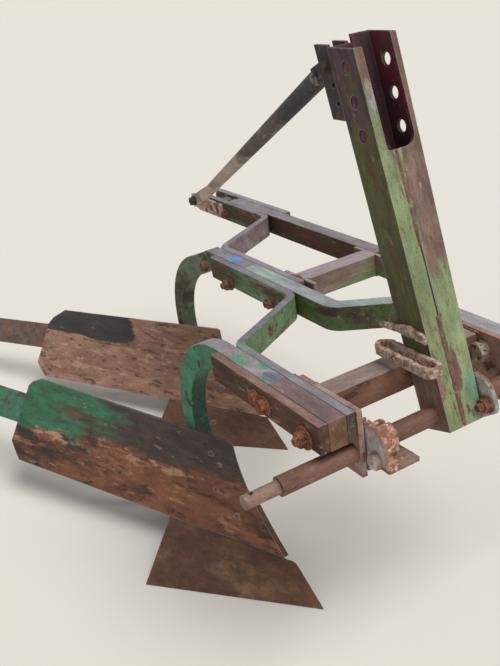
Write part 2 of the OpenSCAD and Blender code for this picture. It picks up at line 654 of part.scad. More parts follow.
// Frog: an upright plate, a head that carries the leg and two seats for the moldboard and the share
frog_h = 8;
frog_head = 55;
frog_front = 118;
frog_clear = 66;
frog_heel = 40;
function leg_end(b, r) = leg_arc(b, r, leg_last(b), leg_last(b), 1)[0];
function leg_dir(b) = [sin(leg_last(b)), -cos(leg_last(b))];
function leg_in(b) = leg_end(b, LEG[b][2] - bar_h);
function leg_out(b) = leg_end(b, LEG[b][2]);
// Heights at which the frog follows the shin
frog_rows = [60, 120, 180];
module frog(b) {
    head = leg_dir(b) * frog_head;
    heel_y = landside_end - frog_heel;
    slab_x(frog_x, frog_t) polygon(concat([[shin_at(0) + frog_front, floor_z + frog_h]],
        [for (h = frog_rows) [shin_at(h) + frog_clear, floor_z + h]],
        [leg_in(b) + head / 2, leg_out(b) + head / 2, [heel_y - heel_run, floor_z + landside_h],
            [heel_y, floor_z + landside_h - heel_drop], [heel_y, floor_z + frog_h]]));
    slab_x(spacer_x, board_x - spacer_x)
        polygon([leg_in(b), leg_out(b), leg_out(b) + head, leg_in(b) + head]);
    seat([for (v = [0.06, 0.12, 0.18, 0.3]) [for (t = [0.14, 0.2, 0.26, 0.32])
        board_behind(b, t, v, board_t + sheet_clear)]]);
    seat([for (w = [0.5, 0.75, 0.9]) [for (a = [0.25, 0.375, 0.5, 0.625])
        share_behind(b, a, w, share_t + sheet_clear)]]);
}
// Solid from a grid of points behind a sheet to the frog's plate
module seat(face) grid_solid(face, [for (r = face) [for (p = r) [frog_x + past, p[1], p[2]]]]);
module front_frog() color("#4a4038") at_body(0) frog(0);
module rear_frog() color("#4a4038") at_body(1) frog(1);

// Stay rod from the frog's heel to the back of the moldboard, with a pad at each end
stay_t = 0.62;
stay_half = 0.035;
stay_plate = 9;
stay_pad = 52;
stay_back = 66;
stay_h = 58;
stay_clear = 2.5;
module stay(b) {
    foot = [frog_x - stay_plate, landside_end - stay_back, floor_z + stay_h];
    p = board_behind(b, stay_t, slat_low, board_t + stay_d / 2 + stay_clear);
    v = p - foot;
    translate(foot + stay_clear * unit(v)) rotate([0, acos(v[2] / norm(v)), atan2(v[1], v[0])])
        cylinder(h = norm(v) - stay_clear, d = stay_d, $fn = 32);
    translate([frog_x - stay_plate, foot[1] - stay_pad / 2, foot[2] - stay_pad / 2])
        cube([stay_plate, stay_pad, stay_pad]);
    behind_board(b, [0.3, slat_low, 0.55], [stay_t - stay_half, stay_t + stay_half], stay_plate);
}
module behind_board(b, rows, cols, t) grid_solid(
    [for (v = rows) [for (u = cols) board_behind(b, u, v, board_t + sheet_clear)]],
    [for (v = rows) [for (u = cols) board_behind(b, u, v, board_t + sheet_clear + t)]]);
module front_stay() color("#4c423c") at_body(0) stay(0);
module rear_stay() color("#4c423c") at_body(1) stay(1);

// Tail slat bolted behind the moldboard's rear edge
module slat(b) behind_board(b, [slat_low, 0.55, 0.68, slat_high],
    [0.88, 0.94, 1, 1 + slat_reach / 2, 1 + slat_reach], slat_t);
module front_slat() color("#27704c") at_body(0) slat(0);
module rear_slat() color("#6b4a38") at_body(1) slat(1);

right_side_plate();
spacer_block();
right_joggled_bar();
left_joggled_bar();
left_station_plate();
main_bar();
left_bar();
left_side_plate();
front_cross_tube();
rear_cross_tube();
right_bracket();
left_bracket();
cross_shaft();
right_sector();
left_sector();
right_clamp();
left_clamp();
mast_right_channel();
mast_left_channel();
brace_ears();
brace_tube();
brace_lug();
mast_loop();
mast_strap();
front_leg();
front_frog();
front_moldboard();
front_share();
front_shin();
front_landside();
front_stay();
front_slat();
rear_leg();
rear_frog();
rear_moldboard();
rear_share();
rear_shin();
rear_landside();
rear_stay();
rear_slat();
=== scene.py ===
# Looks of the mounted moldboard plough: worn paint and rust on its packed steel solids,
# with the bolts, nuts, washers and welds that the solids leave out.
import json
import math

import bmesh
import bpy
from mathutils import Matrix, Vector, noise
from mathutils.bvhtree import BVHTree


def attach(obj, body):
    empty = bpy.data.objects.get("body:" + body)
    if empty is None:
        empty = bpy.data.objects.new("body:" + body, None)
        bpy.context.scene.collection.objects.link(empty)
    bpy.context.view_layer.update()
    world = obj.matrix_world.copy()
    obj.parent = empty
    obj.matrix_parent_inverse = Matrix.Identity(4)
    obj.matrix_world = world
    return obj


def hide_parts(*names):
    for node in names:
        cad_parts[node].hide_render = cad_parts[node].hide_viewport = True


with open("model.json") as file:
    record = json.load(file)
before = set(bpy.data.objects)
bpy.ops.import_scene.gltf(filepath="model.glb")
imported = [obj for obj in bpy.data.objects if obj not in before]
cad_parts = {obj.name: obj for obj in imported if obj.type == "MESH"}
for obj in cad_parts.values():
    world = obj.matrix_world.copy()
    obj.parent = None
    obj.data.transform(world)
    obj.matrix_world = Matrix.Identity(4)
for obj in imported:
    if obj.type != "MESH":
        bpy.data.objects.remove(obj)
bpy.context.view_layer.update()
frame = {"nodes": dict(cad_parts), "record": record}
scene = bpy.context.scene

# Places are given in millimetres from the frame's right face, its front and the bar tops
HITCH = Vector((327, 22, -100))
FLOOR_Z = -600
# From the front body to the rear one
STEP_ASIDE, STEP_BACK = 305, 625
# The mast leans back, and the cross shaft passes behind its front face and above its foot
MAST_X = 283
LEAN = math.radians(16.5)
SHAFT_BACK, SHAFT_UP = 42, 33
# Ways in which faces and fasteners look
UP = Vector((0, 0, 1))
RIGHT = Vector((-1, 0, 0))
LEFT = -RIGHT
FRONT = Vector((0, -1, 0))
MAST_FRONT = Vector((0, -math.cos(LEAN), math.sin(LEAN)))
# Material slot and body of each node
SLOTS = {part["node"]: part["material_slot"] for part in frame["record"]["subparts"]}
BODIES = {node: body for body, nodes in frame["record"]["behaviour"]["bodies"].items() for node in nodes}


def at(x, y, z):
    """Place on the frame in metres, from millimetres."""
    return (Vector((x, y, z)) - HITCH) / 1000


def on_mast(x, y, z):
    """Place on the mast: millimetres from its right face, behind its front face and up from its foot."""
    back, up = y - SHAFT_BACK, z - SHAFT_UP
    return at(MAST_X + x, HITCH.y + back * math.cos(LEAN) + up * math.sin(LEAN),
              HITCH.z + up * math.cos(LEAN) - back * math.sin(LEAN))


def linear(colour):
    """Linear colour from an sRGB hex value."""
    parts = [int(colour[i:i + 2], 16) / 255 for i in (1, 3, 5)]
    return tuple(c / 12.92 if c <= 0.04045 else ((c + 0.055) / 1.055) ** 2.4 for c in parts) + (1.0,)


# Finishes

# Limits that noises seldom leave, and the shade that each kind of unevenness gives there
BLOTCHES = {"From Min": 0.38, "From Max": 0.62}
BROAD_TONE = {"From Min": 0.36, "From Max": 0.64, "To Min": 0.84, "To Max": 1.16}
SPOTS = {"From Min": 0.36, "From Max": 0.64, "To Min": 0.87, "To Max": 1.2}
SPECKLE = {"From Min": 0.32, "From Max": 0.68, "To Min": 0.8, "To Max": 1.24}
BROAD_SIZE, SPOT_SIZE = 110, 16
# Roughness goes this far up and down with the grain
GRAIN_LIMITS = {"From Min": 0.3, "From Max": 0.7}
ROUGH_SPREAD = 0.08
# Each noise has a number and is read from a place of its own, so that no two coats share their patches
GROUND_NOISE, GRAIN_NOISE, FIRST_COAT, MOTTLE_STEP, TONE_NOISE, SPOT_NOISE = 0, 1, 2, 20, 40, 41
NOISE_START, NOISE_STEP = (1.7, 5.3, 2.9), 3.1
NOISE_ROUGHNESS = 0.68
# An edge is where the surface looks another way once it is rounded, by this much in metres
EDGE_REACH = 0.004
EDGES = {"From Min": 0.995, "From Max": 0.85}
# A face helps a coat from 70 degrees off its direction, and fully within 32 degrees
FACING = {"From Min": 0.35, "From Max": 0.85}
# A place helps fully within half its radii, and no more just outside them
AROUND = {"From Min": 0.5, "From Max": 1.1, "To Max": 0.0}
# Rust and chalky old paint reflect little
REFLECTS = 0.35
# Heights of coats and grain are in millimetres
MILLIMETRE = 0.001


def put(tree, kind, inputs=None, **settings):
    """Adds a node with its settings, and links or sets its inputs."""
    node = tree.nodes.new(kind)
    for name, value in settings.items():
        setattr(node, name, value)
    for key, value in (inputs or {}).items():
        if isinstance(value, bpy.types.NodeSocket):
            tree.links.new(value, node.inputs[key])
        else:
            node.inputs[key].default_value = value
    return node


def zone_gain(tree, place, zone):
    """What a zone of the plough adds to a coat's cover: along a line, or near a place."""
    if zone[0] == "along":
        _, start, end, low, high = zone
        run = end - start
        apart = put(tree, "ShaderNodeVectorMath", {0: place, 1: start}, operation="SUBTRACT").outputs[0]
        share = put(tree, "ShaderNodeVectorMath", {0: apart, 1: run / run.length_squared},
                    operation="DOT_PRODUCT").outputs["Value"]
        return put(tree, "ShaderNodeMapRange", {"Value": share, "To Min": low, "To Max": high},
                   interpolation_type="SMOOTHSTEP").outputs[0]
    _, centre, radii, gain = zone
    apart = put(tree, "ShaderNodeVectorMath", {0: place, 1: centre}, operation="SUBTRACT").outputs[0]
    apart = put(tree, "ShaderNodeVectorMath", {0: apart, 1: Vector(radii) / 1000},
                operation="DIVIDE").outputs[0]
    far = put(tree, "ShaderNodeVectorMath", {0: apart}, operation="LENGTH").outputs["Value"]
    return put(tree, "ShaderNodeMapRange", {"Value": far, "To Min": gain, **AROUND},
               interpolation_type="SMOOTHSTEP").outputs[0]


def finish(name, ground, coats, rough=0.85, grain=(4, 0.25), streak=(1, 1, 1), turn=(0, 0, 0)):
    """Old steel: a mottled ground, coats over it that lie in patches, a broad tone, spots and grain.

    The ground has its two colours and the size of its blotches in mm. A coat has its two colours, the
    size of its patches, the noise level that it starts from, a softness, its roughness and thickness in
    mm, and what helps it: faces that look one way, edges and zones. Patches are drawn out along a
    streak. The grain has its size and height in mm: real rust is finer than the render can show, so its
    grain is drawn 3 to 5 mm wide.
    """
    material = bpy.data.materials.new(name)
    material.use_nodes = True
    tree = material.node_tree
    shader = tree.nodes["Principled BSDF"]
    coordinates = put(tree, "ShaderNodeTexCoord")
    place, looks = coordinates.outputs["Object"], coordinates.outputs["Normal"]
    edge = None
    if any(coat.get("edge") for coat in coats):
        true_normal = put(tree, "ShaderNodeNewGeometry").outputs["Normal"]
        rounded = put(tree, "ShaderNodeBevel", {"Radius": EDGE_REACH}, samples=4).outputs[0]
        same = put(tree, "ShaderNodeVectorMath", {0: rounded, 1: true_normal}, operation="DOT_PRODUCT")
        edge = put(tree, "ShaderNodeMapRange", {"Value": same.outputs["Value"], **EDGES}).outputs[0]

    def patches(number, size, detail=9.0, drawn_out=streak):
        """Noise with patches of one size in mm."""
        start = (NOISE_STEP * number + NOISE_START[0], *NOISE_START[1:])
        laid = put(tree, "ShaderNodeMapping",
                   {"Vector": place, "Location": start, "Rotation": turn, "Scale": drawn_out},
                   vector_type="TEXTURE").outputs[0]
        return put(tree, "ShaderNodeTexNoise", {"Vector": laid, "Scale": 1000 / size, "Detail": detail,
                   "Roughness": NOISE_ROUGHNESS}).outputs[0]

    def mixed(factor, colours):
        """Two colours, in the blotches of a noise."""
        spread = put(tree, "ShaderNodeMapRange", {"Value": factor, **BLOTCHES}).outputs[0]
        return put(tree, "ShaderNodeMix", {0: spread, 6: linear(colours[0]), 7: linear(colours[1])},
                   data_type="RGBA").outputs[2]

    colour = mixed(patches(GROUND_NOISE, ground[2]), ground[:2])
    fine = patches(GRAIN_NOISE, grain[0], 4.0, (1, 1, 1))
    height = put(tree, "ShaderNodeMath", {0: fine, 1: grain[1]}, operation="MULTIPLY").outputs[0]
    shine = put(tree, "ShaderNodeMapRange",
                {"Value": fine, **GRAIN_LIMITS, "To Min": rough - ROUGH_SPREAD,
                 "To Max": min(rough + ROUGH_SPREAD, 1.0)}).outputs[0]
    for number, coat in enumerate(coats, FIRST_COAT):
        cover = patches(number, coat["size"], drawn_out=coat.get("streak", streak))
        gains = [zone_gain(tree, place, zone) for zone in coat.get("zones", ())]
        for direction, strength in coat.get("faces", ()):
            facing = put(tree, "ShaderNodeVectorMath", {0: looks, 1: direction}, operation="DOT_PRODUCT")
            gains.append(put(tree, "ShaderNodeMapRange", {"Value": facing.outputs["Value"], **FACING,
                             "To Max": strength}).outputs[0])
        if coat.get("edge"):
            worn = put(tree, "ShaderNodeMath", {0: edge, 1: coat["edge"]}, operation="MULTIPLY")
            gains.append(worn.outputs[0])
        for gain in gains:
            cover = put(tree, "ShaderNodeMath", {0: cover, 1: gain}, operation="ADD").outputs[0]
        soft = coat.get("soft", 0.03)
        mask = put(tree, "ShaderNodeMapRange", {"Value": cover, "From Min": coat["level"] - soft,
                   "From Max": coat["level"] + soft, "To Max": coat.get("full", 1.0)},
                   interpolation_type="SMOOTHSTEP").outputs[0]
        tint = mixed(patches(number + MOTTLE_STEP, coat.get("mottle", 14), 6.0), coat["colours"])
        colour = put(tree, "ShaderNodeMix", {0: mask, 6: colour, 7: tint}, data_type="RGBA").outputs[2]
        shine = put(tree, "ShaderNodeMix", {0: mask, 2: shine, 3: coat.get("rough", 0.75)}).outputs[0]
        if coat.get("height"):
            height = put(tree, "ShaderNodeMath", {0: mask, 1: coat["height"], 2: height},
                         operation="MULTIPLY_ADD").outputs[0]
    broad = patches(TONE_NOISE, BROAD_SIZE, 5.0)
    broad = put(tree, "ShaderNodeMapRange", {"Value": broad, **BROAD_TONE}).outputs[0]
    speckle = put(tree, "ShaderNodeMapRange", {"Value": fine, **SPECKLE}).outputs[0]
    spots = patches(SPOT_NOISE, SPOT_SIZE, 6.0)
    spots = put(tree, "ShaderNodeMapRange", {"Value": spots, **SPOTS}).outputs[0]
    shade = put(tree, "ShaderNodeMath", {0: broad, 1: speckle}, operation="MULTIPLY").outputs[0]
    shade = put(tree, "ShaderNodeMath", {0: shade, 1: spots}, operation="MULTIPLY").outputs[0]
    colour = put(tree, "ShaderNodeMix", {0: 1.0, 6: colour, 7: shade}, data_type="RGBA",
                 blend_type="MULTIPLY").outputs[2]
    bump = put(tree, "ShaderNodeBump", {"Strength": 1.0, "Distance": MILLIMETRE, "Height": height})
    for socket, value in (("Base Color", colour), ("Roughness", shine), ("Normal", bump.outputs[0])):
        tree.links.new(value, shader.inputs[socket])
    shader.inputs["Specular IOR Level"].default_value = REFLECTS
    return material


def along_bars(start, end, low, high):
    """Zone that changes along the bars, between two places behind their front."""
    return ("along", at(HITCH.x, start, -30), at(HITCH.x, end, -30), low, high)


def up_mast(start, end, low, high):
    """Zone that changes up the mast, between two heights above its foot."""
    return ("along", on_mast(0, 0, start), on_mast(0, 0, end), low, high)


def up_board(start, end, low, high):
    """Zone that changes up a moldboard, between two heights from the bar tops."""
    return ("along", at(0, 800, start), at(0, 800, end), low, high)


def bleached(colours, level=0.62):
    """Paint on faces that look up, bleached and chalky, rubbed through in places to what lies below."""
    return dict(colours=colours, size=90, level=level + 0.3, faces=[(UP, 0.6)], soft=0.07, rough=0.7,
                height=0.05, mottle=22)


def chips(colours=("#7a4f3c", "#5c3a30"), size=34, level=0.6, **more):
    """Chips through the paint down to rust."""
    return dict(dict(colours=colours, size=size, level=level, soft=0.025, rough=0.92, height=-0.15), **more)


# Handled edges are rubbed pale, and earth lies on the steel in small tan flecks
PALE_EDGE = dict(colours=("#a39a9c", "#8a7d7a"), size=25, level=0.8, edge=0.36, soft=0.08, rough=0.6,
                 full=0.7)
DUST = dict(colours=("#a38a70", "#8f7560"), size=16, level=0.635, soft=0.03, rough=0.95, full=0.7)
# Patches run along the rolled bars, and across the plough on its square tubes
BAR_STREAK, TUBE_STREAK = (1, 4, 1), (4, 1, 1)
FINISHES = {}

# Side plate next to the soil: dusty brown, its paint gone but for a trace of olive
FINISHES["right_side_plate"] = finish("brown_rusty_flat_bar", ("#5f4134", "#463027", 60), [
    dict(colours=("#5d5638", "#4f4a30"), size=110, level=0.56, soft=0.08, rough=0.8, full=0.7),
    dict(colours=("#7d5a4e", "#6d4b42"), size=50, level=0.6, soft=0.06, rough=0.9,
         zones=[("near", at(0, 205, -35), (20, 50, 40), 0.09),
                ("near", at(0, 60, -45), (20, 45, 40), 0.09)]),
    bleached(("#8d726b", "#755a53"), 0.6), chips(("#a5836a", "#8d6c56"), 26, 0.62),
    # Two small holes near its rear end, drawn as dents painted dark: painted shade
    dict(colours=("#221b18", "#2c231f"), size=12, level=0.8, soft=0.1, height=-1.0,
         zones=[("near", at(0, 394, -42), (6, 7, 6), 0.5),
                ("near", at(0, 367, -41), (6, 5, 5), 0.5)]),
    PALE_EDGE, DUST], streak=BAR_STREAK)
# Spacer: a bare block, rusted to a dull purple brown
FINISHES["spacer_block"] = finish("purple_grey_bar_end", ("#7a5a4c", "#634639", 50), [
    chips(), bleached(("#7c696a", "#6a5657"), 0.6), PALE_EDGE, DUST], streak=BAR_STREAK)
# Right joggled bar: light green paint in front, dark olive behind, thin at both ends, paler on top
FINISHES["right_joggled_bar"] = finish("flat_bar_mottled_green", ("#604a3c", "#4a392f", 60), [
    dict(colours=("#6d8a63", "#577550"), size=90, level=0.47, soft=0.05, rough=0.6, height=0.12,
         zones=[along_bars(830, 940, 0.03, -0.12), along_bars(60, 160, -0.25, 0.0)]),
    dict(colours=("#47563b", "#3a4830"), size=90, level=0.86, soft=0.08, rough=0.6,
         zones=[along_bars(680, 730, 0.0, 0.42)]),
    chips(), bleached(("#8b848b", "#767078"), 0.64),
    dict(colours=("#84a094", "#74917f"), size=70, level=1.08, faces=[(UP, 0.55)], soft=0.05, rough=0.65),
    PALE_EDGE, DUST], streak=BAR_STREAK)
# Left joggled bar: greyish purple brown rust with traces of green paint
FINISHES["left_joggled_bar"] = finish("flat_bar_purple_brown", ("#85767a", "#6c5d60", 60), [
    dict(colours=("#5f6a4a", "#50593c"), size=80, level=0.58, soft=0.06, rough=0.65), chips(),
    bleached(("#8d868c", "#7b7378"), 0.6), PALE_EDGE, DUST], streak=BAR_STREAK)
# Its rear stretch: half green paint, half brown rust
FINISHES["left_station_plate"] = finish("flat_bar_green_and_brown", ("#5a473b", "#463831", 60), [
    dict(colours=("#55673f", "#465634"), size=90, level=0.5, soft=0.06, rough=0.65, height=0.1), chips(),
    bleached(("#837c82", "#6f686c"), 0.62), PALE_EDGE, DUST], streak=BAR_STREAK)
# Main bar: dark green paint, thinner at its front and bleached pale on top
FINISHES["main_bar"] = finish("flat_bar_dark_green", ("#4d3c36", "#392d2a", 60), [
    dict(colours=("#54673c", "#445530"), size=100, level=0.48, soft=0.06, rough=0.6, height=0.12,
         zones=[along_bars(330, 420, -0.05, 0.03)]),
    chips(), bleached(("#a3a1a4", "#8d8c92"), 0.6),
    dict(colours=("#9ab0a6", "#86a094"), size=80, level=1.08, faces=[(UP, 0.55)], soft=0.05, rough=0.65),
    PALE_EDGE, DUST], streak=BAR_STREAK)
# Left bar: even maroon rust
FINISHES["left_bar"] = finish("flat_bar_maroon", ("#5c3d35", "#472f29", 60), [
    dict(colours=("#4f4a3a", "#433e30"), size=90, level=0.6, soft=0.06, rough=0.7), chips(),
    bleached(("#8b8389", "#787074"), 0.6), PALE_EDGE, DUST], streak=BAR_STREAK)
# Left side plate: faded lilac; in the empty station, painted shadow over dark rubble, with white splashes
FINISHES["left_side_plate"] = finish("flat_bar_lilac", ("#6e5650", "#574440", 60), [
    chips(), bleached(("#958d93", "#807880"), 0.58),
    # Painted shadow, partly dark rubble, on the right faces inside the empty station
    dict(colours=("#1e1b1c", "#2a2626"), size=50, level=1.0, soft=0.04, rough=0.5, faces=[(RIGHT, 0.5)],
         zones=[("near", at(673, 1490, -20), (40, 130, 60), 0.24)]),
    dict(colours=("#e0dad3", "#b9b1aa"), size=12, level=1.08, soft=0.02, rough=0.8, faces=[(RIGHT, 0.5)],
         zones=[("near", at(673, 1490, -20), (40, 130, 60), 0.1)]),
    PALE_EDGE, DUST], streak=BAR_STREAK)

# Square tubes and their brackets: dry rust, hardly any paint
FINISHES["front_cross_tube"] = finish("rusty_square_tube", ("#7c5b49", "#634638", 60), [
    chips(("#543c33", "#47342d"), 34, 0.58), bleached(("#96827d", "#84706b"), 0.61), PALE_EDGE, DUST],
    rough=0.9, streak=TUBE_STREAK)
# The rear one keeps green paint low on its sides, and has a dark red patch where it meets the bar
FINISHES["rear_cross_tube"] = finish("square_tube_mauve", ("#86746a", "#6f5e55", 50), [
    dict(colours=("#637a4f", "#536741"), size=60, level=0.56, soft=0.06, rough=0.65,
         zones=[("along", at(420, 620, -10), at(420, 620, -45), -0.05, 0.08)]),
    bleached(("#9f9097", "#8d7f86"), 0.6),
    dict(colours=("#8a4e4c", "#754240"), size=40, level=0.68, soft=0.05, rough=0.85,
         zones=[("near", at(372, 650, -10), (34, 90, 60), 0.2)]),
    PALE_EDGE, DUST], rough=0.85, streak=TUBE_STREAK)
FINISHES["bracket"] = finish("rusty_bracket_plate", ("#a68474", "#89685a", 40), [
    dict(colours=("#ae988f", "#9c867d"), size=60, level=0.56, soft=0.08, rough=0.85),
    chips(("#6a4b3f", "#5b4037"), 40, 0.61), PALE_EDGE, DUST], rough=0.9)
# Turned shaft: smooth red-brown rust, worn paler towards the pins
FINISHES["cross_shaft"] = finish("rusty_turned_shaft", ("#7a564a", "#64463c", 50), [
    dict(colours=("#94796d", "#84695d"), size=40, level=0.66, soft=0.08, rough=0.6,
         zones=[("near", at(x, 22, -100), (55, 60, 60), 0.25) for x in (-125, 779)]),
    dict(colours=("#573a32", "#49302a"), size=40, level=0.58, soft=0.06, rough=0.85), DUST],
    rough=0.65, grain=(5, 0.12), streak=(3, 1, 1))
# Sector plates: cut steel plate, worn grey-green beside the mast, and pale worn steel with painted light on
# its right faces
FINISHES["sector"] = finish("worn_steel_plate", ("#8d776b", "#735e54", 40), [
    dict(colours=("#7c5a4a", "#654739"), size=50, level=0.53, soft=0.06, rough=0.9, height=0.1),
    dict(colours=("#98a096", "#838b81"), size=30, level=0.64, soft=0.05, rough=0.7,
         zones=[("near", at(383, 0, -90), (60, 150, 150), 0.17)]),
    # Painted light: right faces, which the lamp leaves in shade, are lifted to a pale worn steel
    dict(colours=("#c4b8b6", "#b0a4a2"), size=40, level=0.99, soft=0.08, rough=0.75, faces=[(RIGHT, 0.6)]),
    PALE_EDGE, DUST], rough=0.8)
# Thick flaking rust with earth in it: red-brown on the clamps, smoother on the right one's foot plate
FINISHES["crust"] = finish("flaking_rust_crust", ("#946656", "#775346", 16), [
    dict(colours=("#bf947e", "#a8816c"), size=24, level=0.53, soft=0.05, rough=0.98, height=0.5),
    dict(colours=("#d6bda6", "#c2a78f"), size=14, level=0.575, soft=0.04, rough=0.98, height=0.4),
    dict(colours=("#937a72", "#7d645c"), size=20, level=0.72, soft=0.08, rough=0.8,
         zones=[("near", at(177, -3, -141), (44, 50, 14), 0.34)])], rough=0.97, grain=(3, 0.6))
# Paler, drier crust on the loop and the strap
FINISHES["pale_crust"] = finish("pale_flaking_crust", ("#96705e", "#755446", 14), [
    dict(colours=("#c6ae9c", "#ae9786"), size=16, level=0.49, soft=0.1, rough=0.98, height=0.5),
    dict(colours=("#dccdbf", "#c9b9aa"), size=9, level=0.57, soft=0.06, rough=0.98, height=0.4)],
    rough=0.97, grain=(3, 0.6))

# Mast: matte sage green paint, with rust that creeps from the seam and comes through at the top
SAGE = ("#84906c", "#74805a")
MAST_GRAIN = dict(rough=0.88, streak=(1, 1, 3), turn=(-LEAN, 0, 0))
SEAM_RUST = dict(colours=("#72554a", "#5c453c"), size=30, level=0.7, soft=0.05, rough=0.9, height=-0.1,
                 zones=[("near", on_mast(50, 0, 110), (14, 40, 120), 0.19),
                        ("near", on_mast(50, 0, 470), (13, 40, 110), 0.17)])
# Between the seam's welds the joint's narrow gap is painted as a dark line of shade
SEAM_GAP_SHADE = dict(colours=("#2b2622", "#35302a"), size=20, level=0.74, soft=0.06, rough=0.9,
                 zones=[("along", on_mast(37, 0, 300), on_mast(39, 0, 300), 0.0, 0.36),
                        ("along", on_mast(41, 0, 300), on_mast(43, 0, 300), 0.0, -0.36)])
MAST_CHIPS = [chips(("#6e4f41", "#584036"), 26, 0.615), chips(("#5d5a44", "#6b4f42"), 11, 0.59, full=0.7)]
# Inside the mast the steel is bare rust, painted dark as the shade in the mast's hollow
INSIDE_RUST_AND_SHADE = dict(colours=("#55363a", "#33262b"), size=80, level=0.85, soft=0.08, rough=0.9, mottle=60,
              zones=[("along", on_mast(0, 5, 300), on_mast(0, 13, 300), 0.0, 0.5),
                     ("along", on_mast(0, 74, 300), on_mast(0, 79, 300), 0.0, -0.5)])
# The right channel keeps its paint in front, but for a grey top and a pinkish patch low at its corner
FINISHES["mast_right_channel"] = finish("matte_sage_green_paint", ("#7a5f50", "#654c42", 50), [
    dict(colours=SAGE, size=120, level=0.345, soft=0.06, rough=0.7, height=0.15, mottle=50,
         zones=[up_mast(560, 720, 0.0, -0.34)]),
    dict(colours=("#a09a98", "#8f8585"), size=60, level=0.66, soft=0.08, rough=0.75, full=0.9,
         zones=[("near", on_mast(12, 0, 670), (14, 12, 120), 0.24)]),
    dict(colours=("#9b7468", "#876458"), size=40, level=0.66, soft=0.05, rough=0.85,
         zones=[("near", on_mast(6, 0, 92), (14, 16, 42), 0.24)]),
    dict(colours=("#6f7454", "#5f6146"), size=24, level=0.61, soft=0.08, rough=0.85, full=0.7,
         zones=[up_mast(320, 560, 0.0, 0.07)]),
    SEAM_RUST, *MAST_CHIPS, SEAM_GAP_SHADE, INSIDE_RUST_AND_SHADE,
    # Its right side carries painted shade: a dull olive, darker than the sage, brown rust in patches, plum
    # at the top and brown at the foot
    dict(colours=("#5b5b38", "#4b4a30"), size=120, level=0.87, soft=0.08, rough=0.8, faces=[(RIGHT, 0.6)],
         mottle=40),
    dict(colours=("#63503c", "#523f31"), size=50, level=1.14, soft=0.05, rough=0.9, faces=[(RIGHT, 0.6)]),
    dict(colours=("#55444a", "#44363a"), size=80, level=1.24, soft=0.07, rough=0.85, faces=[(RIGHT, 0.6)],
         zones=[up_mast(560, 650, 0.0, 0.25)]),
    dict(colours=("#7c675c", "#69554c"), size=60, level=1.24, soft=0.07, rough=0.9, faces=[(RIGHT, 0.6)],
         zones=[up_mast(190, 110, 0.0, 0.25)]),
    PALE_EDGE, DUST], **MAST_GRAIN)
# The left channel has rusted from its top down, with a blue-green patch at its foot
FINISHES["mast_left_channel"] = finish("sage_green_paint_rusting", ("#7c645c", "#635049", 26), [
    dict(colours=SAGE, size=110, level=0.42, soft=0.07, rough=0.7, height=0.15, mottle=50,
         zones=[up_mast(260, 400, 0.02, -0.19), up_mast(500, 640, 0.0, -0.12)]),
    dict(colours=("#6f937c", "#5f8068"), size=40, level=0.68, soft=0.08, rough=0.6,
         zones=[("near", on_mast(72, 0, 70), (20, 16, 80), 0.2)]),
    dict(colours=("#8f6d60", "#785a4e"), size=40, level=0.64, soft=0.06, rough=0.88,
         zones=[("near", on_mast(75, 0, 420), (24, 30, 160), 0.08)]),
    SEAM_RUST, *MAST_CHIPS, SEAM_GAP_SHADE, INSIDE_RUST_AND_SHADE,
    # Dark red paint on the face that shows through the slot, with painted shade making it darker inside the
    # mast
    dict(colours=("#6f3038", "#3a262c"), size=70, level=0.9, soft=0.06, rough=0.85, faces=[(RIGHT, 0.6)],
         mottle=60),
    PALE_EDGE, DUST], **MAST_GRAIN)
FINISHES["ears"] = finish("dark_plum_rust", ("#47383c", "#352c30", 40), [
    dict(colours=("#5d4a4a", "#4e3f40"), size=40, level=0.56, soft=0.06, rough=0.8), PALE_EDGE], rough=0.8)
# Brace: weathered grey paint, pale at its foot and almost black at the mast
FINISHES["brace"] = finish("weathered_grey_paint", ("#baa99c", "#a19186", 90), [
    dict(colours=("#8b7e75", "#7c6f67"), size=60, level=0.57, soft=0.08, rough=0.8),
    dict(colours=("#5d514e", "#4e4441"), size=60, level=0.72, soft=0.12, rough=0.8,
         zones=[("along", at(500, 1180, 160), at(440, 820, 300), 0.0, 0.36)]),
    dict(colours=("#37373a", "#2b2b2e"), size=120, level=0.82, soft=0.1, rough=0.7,
         zones=[("along", at(370, 700, 390), at(335, 560, 460), 0.0, 0.5)]),
    dict(colours=("#8a7c70", "#7c6e63"), size=30, level=0.6, soft=0.04, rough=0.85), DUST],
    rough=0.75, streak=(1, 3, 2), turn=(0, 0, -0.24))
FINISHES["lug"] = finish("rusty_lug_plate", ("#d0b5a3", "#ad8e7c", 26), [
    chips(("#7a5b4d", "#664a3f"), 30, 0.585, height=-0.4), PALE_EDGE, DUST], rough=0.92)

# Front leg: glossy emerald paint, painted shade on its bend and in one hole, and a bluish patch on top
FINISHES["front_leg"] = finish("emerald_green_paint", ("#3f4a3c", "#4a3c32", 50), [
    dict(colours=("#1d7a54", "#165c3f"), size=160, level=0.39, soft=0.05, rough=0.45, height=0.15,
         mottle=45),
    chips(("#2f3a2e", "#4a3a30"), 50, 0.59, height=-0.1), chips(("#1f3a2c", "#3a3a2e"), 16, 0.63),
    # A hole, drawn as a dent painted dark: painted shade
    dict(colours=("#1c211c", "#262a24"), size=12, level=0.8, soft=0.1, height=-1.0,
         zones=[("near", at(21, 538, -75), (6, 7, 13), 0.5)]),
    # Painted shade: faces that look forward, under the bend, go dark green
    dict(colours=("#1f4635", "#25382d"), size=80, level=0.98, soft=0.1, rough=0.5, faces=[(FRONT, 0.6)]),
    bleached(("#9d9598", "#898084"), 0.5),
    dict(colours=("#5f9a80", "#4f8a70"), size=34, level=1.05, faces=[(UP, 0.52)], soft=0.03, rough=0.6),
    dict(colours=("#6c7685", "#5c6573"), size=30, level=0.86, soft=0.05, rough=0.6, faces=[(UP, 0.12)],
         zones=[("near", at(42, 232, 0), (26, 36, 16), 0.34)]),
    PALE_EDGE, DUST], rough=0.8, streak=(1, 2, 1))
